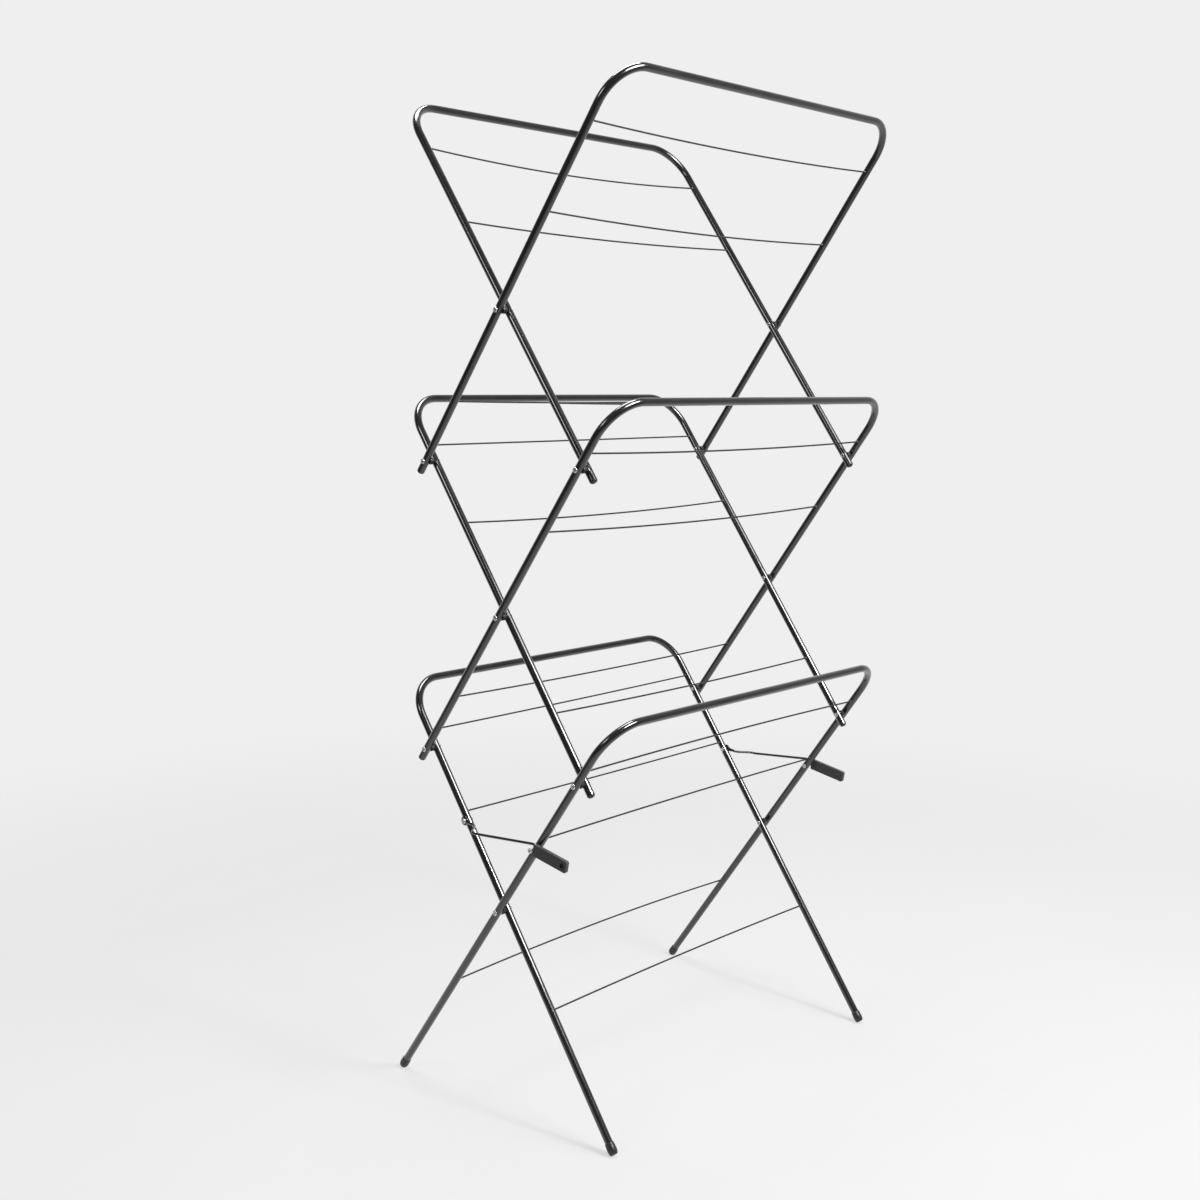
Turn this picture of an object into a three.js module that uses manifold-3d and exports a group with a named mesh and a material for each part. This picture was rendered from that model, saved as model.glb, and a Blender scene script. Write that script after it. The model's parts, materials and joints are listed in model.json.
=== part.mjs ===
// Free-standing three-tier folding clothes airer, in millimetres, +Z up.
// Six U-shaped tube hoops make three scissor pairs stacked as a concertina. The bars run along X,
// the front is -Y, the floor is Z = 0, and the origin is under the middle of the airer.
import * as THREE from 'three';
import { mergeVertices } from 'three/addons/utils/BufferGeometryUtils.js';
import Module from 'manifold-3d';

const wasm = await Module();
wasm.setup();

// Driving dimensions.
const LEAN = THREE.MathUtils.degToRad(35.3); // each leg's tilt from the vertical
const PIVOT_SPACING = 250; // from a scissor pivot to the joint with the next tier
const TOP_REACH = 355; // from a scissor pivot up to the middle of its hoop's top bar
const FOOT_REACH = 346.8; // from the lowest scissor pivot down to the end of a foot
const LOWER_END = 267; // from a scissor pivot down to the cut end of an upper hoop's leg
const OUTER_LEG_X = 312; // middle of the wide hoops' legs
const LEG_STEP = 18; // how far the narrow hoops' legs stand inside the wide ones
const BEND_RADIUS = 55;
const TUBE_RADIUS = 5.5;
const TUBE_WALL = 0.8;
const CLEARANCE = 0.3; // running gap between pieces

const RAIL_STATIONS = [276, 148, -148]; // rails along a hoop, from its scissor pivot
// How far each rail's middle hangs below its ends, by tier; a minus sign means that it stands up.
const NARROW_RAIL_BOWS = [[1, 1, -3], [0, 5, 3], [9, 5, 3]];
const WIDE_RAIL_BOWS = [[-3, -2, -6.5], [4, 5, 3], [5.5, 6, 3]];
const RAIL_RADIUS = 1.2;
const RAIL_INSET = 3.6; // rail's end stops this far short of the leg's middle, in the bore
const RAIL_HOLE_RADIUS = 1.7;

const SHANK_RADIUS = 2;
const HOLE_RADIUS = 2.4;
const HEAD_RADIUS = 4;
const HEAD_HEIGHT = 1.6;
const CROWN_RADIUS = 2.8; // flat middle of a rivet's domed head
const COLLAR_RADIUS = 5;

const FOOT_LENGTH = 16;
const FOOT_MOUTH_RADIUS = 6.2;
const FOOT_RADIUS = 6.7;
const FOOT_END_RADIUS = 5.8;
const FOOT_FLARE = 7; // length over which a foot widens from its mouth
const FOOT_CROWN = 2; // length over which it rounds in to its end
const FOOT_FLOOR = 4.7; // thickness under the end of the leg
const FOOT_SEAT = 5; // a leg's end stops this far short of the foot's end
const SOLE_CUT = 0.8; // depth taken off a foot's lowest edge to make its sole
const PLUG_RADIUS = 5.3;
const PLUG_DOME = 3.4;
const PLUG_SHOULDER = [4.5, 2]; // where the dome turns over, as radius and height
const PLUG_CROWN_RADIUS = 2.4;
const PLUG_STEM_LENGTH = 6;

const ARM_STATION = 135; // lock arm's rivet on the lower narrow hoop
const STUD_STATION = 130; // lock stud on the lower wide hoop
const ARM_RADIUS = 1.9;
const EYE_RADIUS = 6.6;
const EYE_THICKNESS = 2;
const ARM_X = 322.5; // middle of the arm's straight part, outside the wide hoops
// The arm's line from its eye, as how far it has stepped outwards, and (Y, Z) from the eye.
const ARM_FROM_EYE = [[0, -5, -0.6], [0, -17, -2.2], [5, -23, -3.2], [17, -34, -4.6], [21, -41, -4.6]];
// Then its line over the stud and down into the handle, as (Y, Z) from the stud.
const ARM_OVER_STUD = [[6, 8.4], [0, 8.2], [-5, 6.4], [-15, 4.4]];
const SOCKET_RADIUS = 2.25; // the handle's bore for the wire
const STUD_SHOULDER_RADIUS = 2.5;

const HANDLE_THICKNESS = 5.6;
const HANDLE_SETBACK = 3.5; // the handle's back edge is this far in front of the stud's middle
// The handle's outline, as (Y, Z) from its back edge at the stud's height. It slopes down to two
// rounded front corners.
const HANDLE_BACK_TOP = [0, 10];
const HANDLE_TOP_CORNER = [[-59, -0.6], [-62.4, -1], [-61.9, -4.4]];
const HANDLE_BOTTOM_CORNER = [[-60.1, -14.8], [-59.5, -18.2], [-56, -17.6]];
const HANDLE_BACK_BOTTOM = [0, -6.4];
const RECESS_PLACE = [-54.8, -8.7]; // round recess in the handle's outer face
const RECESS_RADIUS = 4.6;
const RECESS_DEPTH = 3;

// Facet counts.
const TUBE_SIDES = 12;
const BORE_SIDES = 6;
const ROUND_SIDES = 8;
const CAP_SIDES = 16;
const RAIL_SIDES = 6;
const BEND_STEPS = 6;
const RAIL_STEPS = 6;

// Worked-out places.
const SIN = Math.sin(LEAN);
const COS = Math.cos(LEAN);
const INNER_LEG_X = OUTER_LEG_X - LEG_STEP;
const TUBE_FLAT = TUBE_RADIUS * Math.cos(Math.PI / TUBE_SIDES);
const BORE_RADIUS = TUBE_RADIUS - TUBE_WALL;
const HEAD_SEAT = TUBE_FLAT + CLEARANCE; // from a leg's middle to the face that a head bears on
const FIRST_PIVOT_Z = FOOT_REACH * COS + FOOT_END_RADIUS * SIN - SOLE_CUT;
const TIER_RISE = 2 * PIVOT_SPACING * COS;
const TIERS = ['lower', 'middle', 'upper'];
const ENDS = [['left', -1], ['right', 1]];

const coat = { color: 0x1c1c1e, roughness: 0.25, metalness: 0.3 };
const railCoat = { color: 0x231d1c, roughness: 0.4, metalness: 0.3 };
const zinc = { color: 0xc8c8c6, roughness: 0.3, metalness: 0.9 };
const plastic = { color: 0x222224, roughness: 0.6, metalness: 0 };

const airer = new THREE.Group();
airer.name = 'clothes_airer';

function addPart(name, geometry, finish) {
  const mesh = new THREE.Mesh(geometry, new THREE.MeshStandardMaterial(finish));
  mesh.name = name;
  airer.add(mesh);
}

// A hoop's plane: its scissor pivot's height and the upward direction of its legs.
function hoopPlane(tier, wide) {
  return {
    pivot: new THREE.Vector3(0, 0, FIRST_PIVOT_Z + tier * TIER_RISE),
    up: new THREE.Vector3(0, wide ? -SIN : SIN, COS),
    legX: wide ? OUTER_LEG_X : INNER_LEG_X,
  };
}

function pointOn(plane, x, station) {
  const point = plane.pivot.clone().addScaledVector(plane.up, station);
  point.x = x;
  return point;
}

// A path with one section at each given point, square to the given direction.
class StationPath extends THREE.Curve {
  constructor(points, tangents) {
    super();
    this.points = points;
    this.tangents = tangents;
  }

  getPointAt(u, target = new THREE.Vector3()) {
    return target.copy(this.points[Math.round(u * (this.points.length - 1))]);
  }

  getTangentAt(u, target = new THREE.Vector3()) {
    return target.copy(this.tangents[Math.round(u * (this.points.length - 1))]).normalize();
  }
}

// Directions along a polyline, halfway between the stretches that meet at each point.
function directionsAlong(points) {
  return points.map((point, i) => {
    const before = points[Math.max(i - 1, 0)];
    const after = points[Math.min(i + 1, points.length - 1)];
    const stretches = [[before, point], [point, after]].filter(([a, b]) => a !== b);
    const sum = new THREE.Vector3();
    for (const [a, b] of stretches) sum.add(b.clone().sub(a).normalize());
    return sum.normalize();
  });
}

function regularPolygon(radius, sides) {
  const corners = [];
  for (let i = 0; i < sides; i += 1) {
    const angle = ((i + 0.5) * 2 * Math.PI) / sides;
    corners.push(new THREE.Vector2(radius * Math.cos(angle), radius * Math.sin(angle)));
  }
  return corners;
}

function sweep(section, points, tangents = directionsAlong(points)) {
  return new THREE.ExtrudeGeometry(section, {
    steps: points.length - 1,
    bevelEnabled: false,
    extrudePath: new StationPath(points, tangents),
  });
}

function toSolid(geometry) {
  const bare = geometry.clone();
  bare.deleteAttribute('normal');
  bare.deleteAttribute('uv');
  const merged = mergeVertices(bare, 1e-4);
  return new wasm.Manifold(new wasm.Mesh({
    numProp: 3,
    vertProperties: new Float32Array(merged.attributes.position.array),
    triVerts: new Uint32Array(merged.index.array),
  }));
}

function toGeometry(solid) {
  const mesh = solid.getMesh();
  const geometry = new THREE.BufferGeometry();
  geometry.setAttribute('position', new THREE.BufferAttribute(mesh.vertProperties, 3));
  geometry.setIndex(new THREE.BufferAttribute(mesh.triVerts, 1));
  return geometry;
}

function cutAway(geometry, cutters) {
  let solid = toSolid(geometry);
  for (const cutter of cutters) solid = solid.subtract(toSolid(cutter));
  return toGeometry(solid);
}

// A closed turned shape whose axis runs from a place in a direction; the profile is [radius, along].
function turned(profile, place, direction, sides = ROUND_SIDES) {
  const outline = profile.map(([radius, along]) => new THREE.Vector2(radius, along));
  const geometry = new THREE.LatheGeometry(outline, sides);
  const turn = new THREE.Quaternion().setFromUnitVectors(new THREE.Vector3(0, 1, 0), direction);
  geometry.applyQuaternion(turn);
  geometry.translate(place.x, place.y, place.z);
  return geometry;
}

// A drill along X from one x to another.
function drill(radius, x0, x1, place, sides) {
  const geometry = new THREE.CylinderGeometry(radius, radius, Math.abs(x1 - x0), sides);
  geometry.rotateZ(Math.PI / 2);
  geometry.translate((x0 + x1) / 2, place.y, place.z);
  return geometry;
}

// One U-shaped tube: up the left leg, round the bend, along the top bar and down the right leg.
function hoopTube(plane, lowerReach) {
  const points = [pointOn(plane, -plane.legX, -lowerReach)];
  const tangents = [plane.up.clone()];
  for (const side of [-1, 1]) {
    for (let i = 0; i <= BEND_STEPS; i += 1) {
      const turn = (Math.PI / 2) * (side < 0 ? i / BEND_STEPS : 1 - i / BEND_STEPS);
      const x = side * (plane.legX - BEND_RADIUS * (1 - Math.cos(turn)));
      const station = TOP_REACH - BEND_RADIUS * (1 - Math.sin(turn));
      points.push(pointOn(plane, x, station));
      const along = plane.up.clone().multiplyScalar(-side * Math.cos(turn));
      tangents.push(along.add(new THREE.Vector3(Math.sin(turn), 0, 0)));
    }
  }
  points.push(pointOn(plane, plane.legX, -lowerReach));
  tangents.push(plane.up.clone().negate());
  const section = new THREE.Shape(regularPolygon(TUBE_RADIUS, TUBE_SIDES));
  section.holes.push(new THREE.Path(regularPolygon(BORE_RADIUS, BORE_SIDES).reverse()));
  return sweep(section, points, tangents);
}

function railHoles(plane) {
  const holes = [];
  for (const [, side] of ENDS) {
    for (const station of RAIL_STATIONS) {
      const outside = side * (plane.legX - 2 * TUBE_RADIUS);
      const place = pointOn(plane, 0, station);
      holes.push(drill(RAIL_HOLE_RADIUS, side * plane.legX, outside, place, RAIL_SIDES));
    }
  }
  return holes;
}

function rivetHoles(plane, stations) {
  const holes = [];
  for (const [, side] of ENDS) {
    for (const station of stations) {
      const x0 = side * (plane.legX - 2 * TUBE_RADIUS);
      const x1 = side * (plane.legX + 2 * TUBE_RADIUS);
      holes.push(drill(HOLE_RADIUS, x0, x1, pointOn(plane, 0, station), ROUND_SIDES));
    }
  }
  return holes;
}

function addHoop(tier, wide) {
  const plane = hoopPlane(tier, wide);
  const name = `${TIERS[tier]}_${wide ? 'wide' : 'narrow'}_hoop`;
  const stations = [0];
  if (tier > 0) stations.push(-PIVOT_SPACING);
  if (tier < 2) stations.push(PIVOT_SPACING);
  if (tier === 0) stations.push(wide ? STUD_STATION : ARM_STATION);
  const lowerReach = tier === 0 ? FOOT_REACH - FOOT_SEAT : LOWER_END;
  const cutters = [...railHoles(plane), ...rivetHoles(plane, stations)];
  addPart(name, cutAway(hoopTube(plane, lowerReach), cutters), coat);
}

// Three wire rails per hoop, each in its own shallow bow between the legs.
function addRails(tier, wide) {
  const plane = hoopPlane(tier, wide);
  const half = plane.legX - RAIL_INSET;
  const bows = (wide ? WIDE_RAIL_BOWS : NARROW_RAIL_BOWS)[tier];
  const section = new THREE.Shape(regularPolygon(RAIL_RADIUS, RAIL_SIDES));
  RAIL_STATIONS.forEach((station, row) => {
    const points = [];
    for (let i = 0; i <= RAIL_STEPS; i += 1) {
      const across = (2 * i) / RAIL_STEPS - 1;
      const point = pointOn(plane, half * across, station);
      point.z -= bows[row] * (1 - across * across);
      points.push(point);
    }
    const name = `${TIERS[tier]}_${wide ? 'wide' : 'narrow'}_rail_${row + 1}`;
    addPart(name, sweep(section, points), railCoat);
  });
}

// A pivot: one rivet through a narrow and a wide leg, with a collar between them.
function addPivot(name, plane, station) {
  const outside = LEG_STEP + HEAD_SEAT;
  const profile = [
    [0, -HEAD_SEAT - HEAD_HEIGHT],
    [CROWN_RADIUS, -HEAD_SEAT - HEAD_HEIGHT],
    [HEAD_RADIUS, -HEAD_SEAT],
    [SHANK_RADIUS, -HEAD_SEAT],
    [SHANK_RADIUS, HEAD_SEAT],
    [COLLAR_RADIUS, HEAD_SEAT],
    [COLLAR_RADIUS, LEG_STEP - HEAD_SEAT],
    [SHANK_RADIUS, LEG_STEP - HEAD_SEAT],
    [SHANK_RADIUS, outside],
    [HEAD_RADIUS, outside],
    [CROWN_RADIUS, outside + HEAD_HEIGHT],
    [0, outside + HEAD_HEIGHT],
  ];
  for (const [end, side] of ENDS) {
    const place = pointOn(plane, side * INNER_LEG_X, station);
    addPart(`${name}_${end}`, turned(profile, place, new THREE.Vector3(side, 0, 0)), zinc);
  }
}

// A moulded cap over the leg's end, with a small flat sole where it meets the floor.
function addFeet(wide) {
  const plane = hoopPlane(0, wide);
  const down = plane.up.clone().negate();
  const socket = TUBE_RADIUS + CLEARANCE;
  const mouth = FOOT_REACH - FOOT_LENGTH;
  const profile = [
    [0, FOOT_REACH - FOOT_FLOOR],
    [socket, FOOT_REACH - FOOT_FLOOR],
    [socket, mouth],
    [FOOT_MOUTH_RADIUS, mouth],
    [FOOT_RADIUS, mouth + FOOT_FLARE],
    [FOOT_RADIUS, FOOT_REACH - FOOT_CROWN],
    [FOOT_END_RADIUS, FOOT_REACH],
    [0, FOOT_REACH],
  ];
  const groundSize = 8 * FOOT_RADIUS;
  const ground = new THREE.BoxGeometry(groundSize, groundSize, groundSize);
  for (const [end, side] of ENDS) {
    const pivot = pointOn(plane, side * plane.legX, 0);
    const tip = pointOn(plane, side * plane.legX, -FOOT_REACH);
    const floor = ground.clone().translate(tip.x, tip.y, -groundSize / 2);
    const cap = cutAway(turned(profile, pivot, down, CAP_SIDES), [floor]);
    addPart(`${wide ? 'rear' : 'front'}_foot_${end}`, cap, plastic);
  }
}

// A domed plug that closes the lower end of each upper hoop's leg.
function addPlugs(tier, wide) {
  const plane = hoopPlane(tier, wide);
  const stem = BORE_RADIUS * Math.cos(Math.PI / BORE_SIDES) - CLEARANCE;
  const seat = LOWER_END + CLEARANCE;
  const profile = [
    [0, LOWER_END - PLUG_STEM_LENGTH],
    [stem, LOWER_END - PLUG_STEM_LENGTH],
    [stem, seat],
    [PLUG_RADIUS, seat],
    [PLUG_SHOULDER[0], seat + PLUG_SHOULDER[1]],
    [PLUG_CROWN_RADIUS, seat + PLUG_DOME],
    [0, seat + PLUG_DOME],
  ];
  for (const [end, side] of ENDS) {
    const pivot = pointOn(plane, side * plane.legX, 0);
    const down = plane.up.clone().negate();
    const name = `${TIERS[tier]}_${wide ? 'wide' : 'narrow'}_plug_${end}`;
    addPart(name, turned(profile, pivot, down), plastic);
  }
}

// The lock arm: a flattened eye on the narrow hoop's leg, a joggle outwards past the wide
// hoop's leg, then a straight wire that passes over the stud and ends in the handle.
function addLocks() {
  const narrow = hoopPlane(0, false);
  const wide = hoopPlane(0, true);
  const eye = pointOn(narrow, 0, ARM_STATION);
  const stud = pointOn(wide, 0, STUD_STATION);
  const eyeInner = INNER_LEG_X + HEAD_SEAT;
  const eyeOuter = eyeInner + EYE_THICKNESS;
  const wireX = eyeInner + ARM_RADIUS;
  const handleInner = ARM_X - HANDLE_THICKNESS / 2;
  const handleOuter = ARM_X + HANDLE_THICKNESS / 2;
  // The handle's outline from behind the stud to its rounded front end, drawn in (Y, Z).
  const handleBack = stud.y - HANDLE_SETBACK;
  const onHandle = ([y, z]) => [handleBack + y, stud.z + z];
  const outline = new THREE.Shape();
  outline.moveTo(...onHandle(HANDLE_BACK_TOP));
  for (const [start, corner, end] of [HANDLE_TOP_CORNER, HANDLE_BOTTOM_CORNER]) {
    outline.lineTo(...onHandle(start));
    outline.quadraticCurveTo(...onHandle(corner), ...onHandle(end));
  }
  outline.lineTo(...onHandle(HANDLE_BACK_BOTTOM));
  outline.closePath();
  const [recessY, recessZ] = onHandle(RECESS_PLACE);
  const recessPlace = new THREE.Vector3(0, recessY, recessZ);
  const wireRun = [
    ...ARM_FROM_EYE.map(([step, y, z]) => [wireX + step, eye.y + y, eye.z + z]),
    ...ARM_OVER_STUD.map(([y, z]) => [ARM_X, stud.y + y, stud.z + z]),
  ];
  const studShoulder = handleOuter + CLEARANCE - OUTER_LEG_X;
  const studProfile = [
    [0, -HEAD_SEAT - HEAD_HEIGHT],
    [HEAD_RADIUS, -HEAD_SEAT - HEAD_HEIGHT],
    [HEAD_RADIUS, -HEAD_SEAT],
    [SHANK_RADIUS, -HEAD_SEAT],
    [SHANK_RADIUS, HEAD_SEAT],
    [STUD_SHOULDER_RADIUS, HEAD_SEAT],
    [STUD_SHOULDER_RADIUS, studShoulder],
    [HEAD_RADIUS, studShoulder],
    [CROWN_RADIUS, studShoulder + HEAD_HEIGHT],
    [0, studShoulder + HEAD_HEIGHT],
  ];
  const rivetSeat = eyeOuter + CLEARANCE - INNER_LEG_X;
  const rivetProfile = [
    [0, -HEAD_SEAT - HEAD_HEIGHT],
    [CROWN_RADIUS, -HEAD_SEAT - HEAD_HEIGHT],
    [HEAD_RADIUS, -HEAD_SEAT],
    [SHANK_RADIUS, -HEAD_SEAT],
    [SHANK_RADIUS, rivetSeat],
    [HEAD_RADIUS, rivetSeat],
    [CROWN_RADIUS, rivetSeat + HEAD_HEIGHT],
    [0, rivetSeat + HEAD_HEIGHT],
  ];
  for (const [end, side] of ENDS) {
    const run = wireRun.map(([x, y, z]) => new THREE.Vector3(side * x, y, z));
    const round = new THREE.Shape(regularPolygon(ARM_RADIUS, ROUND_SIDES));
    const wire = toSolid(sweep(round, run));
    const disc = toSolid(drill(EYE_RADIUS, side * eyeInner, side * eyeOuter, eye, CAP_SIDES));
    const [boreFrom, boreTo] = [side * INNER_LEG_X, side * (eyeOuter + EYE_RADIUS)];
    const bore = toSolid(drill(HOLE_RADIUS, boreFrom, boreTo, eye, ROUND_SIDES));
    addPart(`lock_arm_${end}`, toGeometry(wire.add(disc).subtract(bore)), coat);
    const plate = new THREE.ExtrudeGeometry(outline, {
      depth: HANDLE_THICKNESS,
      bevelEnabled: false,
      curveSegments: 3,
    });
    // The extrusion is stood up to run along X.
    plate.applyMatrix4(new THREE.Matrix4().set(0, 0, 1, 0, 1, 0, 0, 0, 0, 1, 0, 0, 0, 0, 0, 1));
    plate.translate(side < 0 ? -handleOuter : handleInner, 0, 0);
    const last = run.slice(-3);
    const beyond = last[2].clone().sub(last[1]).normalize();
    last[2] = last[2].clone().addScaledVector(beyond, CLEARANCE);
    const socket = sweep(new THREE.Shape(regularPolygon(SOCKET_RADIUS, ROUND_SIDES)), last);
    const recessFrom = side * (handleOuter - RECESS_DEPTH);
    const recessTo = side * (handleOuter + RECESS_DEPTH);
    const recess = drill(RECESS_RADIUS, recessFrom, recessTo, recessPlace, CAP_SIDES);
    addPart(`lock_handle_${end}`, cutAway(plate, [socket, recess]), plastic);
    const out = new THREE.Vector3(side, 0, 0);
    const rivetPlace = pointOn(narrow, side * INNER_LEG_X, ARM_STATION);
    addPart(`lock_arm_rivet_${end}`, turned(rivetProfile, rivetPlace, out), zinc);
    const studPlace = pointOn(wide, side * OUTER_LEG_X, STUD_STATION);
    addPart(`lock_stud_${end}`, turned(studProfile, studPlace, out), zinc);
  }
}

for (let tier = 0; tier < TIERS.length; tier += 1) {
  const narrow = hoopPlane(tier, false);
  const wide = hoopPlane(tier, true);
  addHoop(tier, false);
  addHoop(tier, true);
  addRails(tier, false);
  addRails(tier, true);
  addPivot(`${TIERS[tier]}_scissor_pivot`, narrow, 0);
  if (tier < 2) {
    addPivot(`${TIERS[tier]}_rear_joint`, narrow, PIVOT_SPACING);
    addPivot(`${TIERS[tier]}_front_joint`, wide, PIVOT_SPACING);
  }
  if (tier > 0) {
    addPlugs(tier, false);
    addPlugs(tier, true);
  }
}
addFeet(false);
addFeet(true);
addLocks();

export default airer;
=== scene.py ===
import json
import math

import bpy
from mathutils import Matrix, Vector


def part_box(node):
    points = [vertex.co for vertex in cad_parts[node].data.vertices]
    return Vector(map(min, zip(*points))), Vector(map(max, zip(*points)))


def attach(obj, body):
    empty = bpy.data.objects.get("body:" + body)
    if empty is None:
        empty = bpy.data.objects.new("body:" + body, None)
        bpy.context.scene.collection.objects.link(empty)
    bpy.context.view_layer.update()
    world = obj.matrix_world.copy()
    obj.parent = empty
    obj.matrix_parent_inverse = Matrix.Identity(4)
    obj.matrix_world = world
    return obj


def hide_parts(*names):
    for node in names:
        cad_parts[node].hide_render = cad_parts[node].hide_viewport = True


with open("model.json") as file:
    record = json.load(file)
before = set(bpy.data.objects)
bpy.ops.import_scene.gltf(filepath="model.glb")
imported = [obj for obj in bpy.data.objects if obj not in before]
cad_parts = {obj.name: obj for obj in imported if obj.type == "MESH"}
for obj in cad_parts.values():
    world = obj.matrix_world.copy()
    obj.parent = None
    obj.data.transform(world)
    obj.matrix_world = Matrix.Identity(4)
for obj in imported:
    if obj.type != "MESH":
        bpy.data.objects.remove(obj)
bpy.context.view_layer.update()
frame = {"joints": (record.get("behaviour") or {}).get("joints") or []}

# ---------------------------------------------------------------------------------------------
# Tube hoops
# Six hoops of 11 mm welded steel tube, bent on a former, and powder-coated gloss black. The wide
# hoops run outside the narrow ones; the lowest pair's legs go down to the floor.
# ---------------------------------------------------------------------------------------------
MM = 0.001
TUBE_RADIUS = 5.5 * MM
TUBE_WALL = 0.8 * MM
TUBE_SIDES = 32
BEND_RADIUS = 55 * MM
BEND_STEPS = 16
TOP_REACH = 355 * MM  # from a scissor pivot up to the middle of the top bar
FLOOR_LEG_REACH = 341.8 * MM  # from the lowest scissor pivot down to the leg's end, in the foot
UPPER_LEG_REACH = 267 * MM  # from an upper scissor pivot down to the leg's cut end
BORE_DEPTH = 12 * MM

TIERS = ("lower", "middle", "upper")
WIDTHS = ("narrow", "wide")
ENDS = {"left": -1, "right": 1}

joint_place = {joint["name"]: Vector(joint["pos_m"]) for joint in frame["joints"]}
first_pivot = joint_place["fold"]
to_tier_joint = joint_place["lower_rear_tier_joint"] - first_pivot
JOINT_REACH = to_tier_joint.length
LEAN = math.atan2(to_tier_joint.y, to_tier_joint.z)
TIER_RISE = Vector((0, 0, 2 * to_tier_joint.z))


def middle_of(node):
    low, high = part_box(node)
    return (low + high) / 2


LEG_X = {"narrow": middle_of("front_foot_right").x, "wide": middle_of("rear_foot_right").x}


def hoop_place(tier, width):
    """Where a hoop stands: modelled upright with its scissor pivot at the origin, then leaned."""
    lean = LEAN if width == "wide" else -LEAN
    return Matrix.Translation(first_pivot + tier * TIER_RISE) @ Matrix.Rotation(lean, 4, "X")


def point_on(tier, width, x, reach):
    return hoop_place(tier, width) @ Vector((x, 0, reach))


def begin(name):
    """Names the primitive just added, and opens it with all of it selected."""
    piece = bpy.context.object
    piece.name = name
    piece.data.name = name
    bpy.ops.object.transform_apply()
    bpy.ops.object.mode_set(mode="EDIT")
    bpy.ops.mesh.select_mode(type="VERT")
    bpy.ops.mesh.select_all(action="SELECT")
    return piece


def extrude(offset):
    bpy.ops.mesh.extrude_region_move(TRANSFORM_OT_translate={"value": offset})


def select_faces(piece, wanted):
    """Selects the faces whose middle and normal pass a test, and nothing else."""
    bpy.ops.mesh.select_mode(type="FACE")
    bpy.ops.mesh.select_all(action="DESELECT")
    bpy.ops.object.mode_set(mode="OBJECT")
    for face in piece.data.polygons:
        face.select = wanted(face.center, face.normal)
    bpy.ops.object.mode_set(mode="EDIT")


def close_and_face_outwards():
    bpy.ops.mesh.select_mode(type="VERT")
    bpy.ops.mesh.select_all(action="SELECT")
    bpy.ops.mesh.remove_doubles(threshold=0.001 * MM)
    bpy.ops.mesh.fill_holes(sides=128)
    bpy.ops.mesh.select_all(action="SELECT")
    bpy.ops.mesh.normals_make_consistent(inside=False)


def apply_modifier(piece, kind, **settings):
    modifier = piece.modifiers.new(kind, kind)
    for name, value in settings.items():
        setattr(modifier, name, value)
    bpy.ops.object.modifier_apply(modifier=modifier.name)


def settle(piece, place=Matrix.Identity(4), smooth_angle=35):
    """Leaves edit mode, puts the piece's place into its mesh and smooths its rounded faces."""
    bpy.ops.object.mode_set(mode="OBJECT")
    piece.data.transform(place)
    if place.determinant() < 0:
        bpy.ops.object.mode_set(mode="EDIT")
        bpy.ops.mesh.select_all(action="SELECT")
        bpy.ops.mesh.normals_make_consistent(inside=False)
        bpy.ops.object.mode_set(mode="OBJECT")
    bpy.ops.object.shade_smooth_by_angle(angle=math.radians(smooth_angle))
    return piece


def colour(hex_code):
    """A linear colour from an sRGB hex value."""
    channels = [int(hex_code[i : i + 2], 16) / 255 for i in (1, 3, 5)]
    linear = [c / 12.92 if c <= 0.04045 else ((c + 0.055) / 1.055) ** 2.4 for c in channels]
    return (*linear, 1)


def add_node(owner, kind, settings=(), links=()):
    """Adds a node to a material or world, sets it up, and links its inputs from other nodes."""
    node = owner.node_tree.nodes.new(kind)
    for name, value in dict(settings).items():
        if name in node.inputs:
            node.inputs[name].default_value = value
        else:
            setattr(node, name, value)
    for name, (source, output) in dict(links).items():
        owner.node_tree.links.new(source.outputs[output], node.inputs[name])
    return node


def new_material(name):
    material = bpy.data.materials.new(name)
    material.use_nodes = True
    material.node_tree.nodes.clear()
    return material


def finish_piece(piece, body, slot, material, *nodes):
    piece.data.materials.clear()
    piece.data.materials.append(material)
    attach(piece, body)
    if nodes:
        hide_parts(*nodes)


# Glossy epoxy-polyester powder coat under a clear top coat: near-black with sharp reflections,
# softened by a faint orange peel about 1.5 mm across, and by cloudier patches where the powder lies
# thicker.
powder_coat = new_material("gloss_black_powder_coat")
place_on = add_node(powder_coat, "ShaderNodeTexCoord")
peel = add_node(
    powder_coat,
    "ShaderNodeTexNoise",
    {"Scale": 1 / (1.5 * MM), "Detail": 2.0, "Roughness": 0.45},
    {"Vector": (place_on, "Object")},
)
clouds = add_node(
    powder_coat,
    "ShaderNodeTexNoise",
    {"Scale": 1 / (35 * MM), "Detail": 3.0},
    {"Vector": (place_on, "Object")},
)
coat_tint = add_node(powder_coat, "ShaderNodeValToRGB", (), {"Fac": (clouds, "Fac")})
coat_tint.color_ramp.elements[0].position = 0.35
coat_tint.color_ramp.elements[0].color = colour("#131314")
coat_tint.color_ramp.elements[1].position = 0.7
coat_tint.color_ramp.elements[1].color = colour("#1b1b1d")
coat_gloss = add_node(
    powder_coat,
    "ShaderNodeMapRange",
    {"To Min": 0.16, "To Max": 0.27},
    {"Value": (clouds, "Fac")},
)
coat_relief = add_node(
    powder_coat,
    "ShaderNodeBump",
    {"Strength": 0.12, "Distance": 0.015 * MM},
    {"Height": (peel, "Fac")},
)
coat_surface = add_node(
    powder_coat,
    "ShaderNodeBsdfPrincipled",
    {"IOR": 1.52, "Coat Weight": 0.9, "Coat Roughness": 0.06, "Coat IOR": 1.5},
    {
        "Base Color": (coat_tint, "Color"),
        "Roughness": (coat_gloss, "Result"),
        "Normal": (coat_relief, "Normal"),
    },
)
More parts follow.
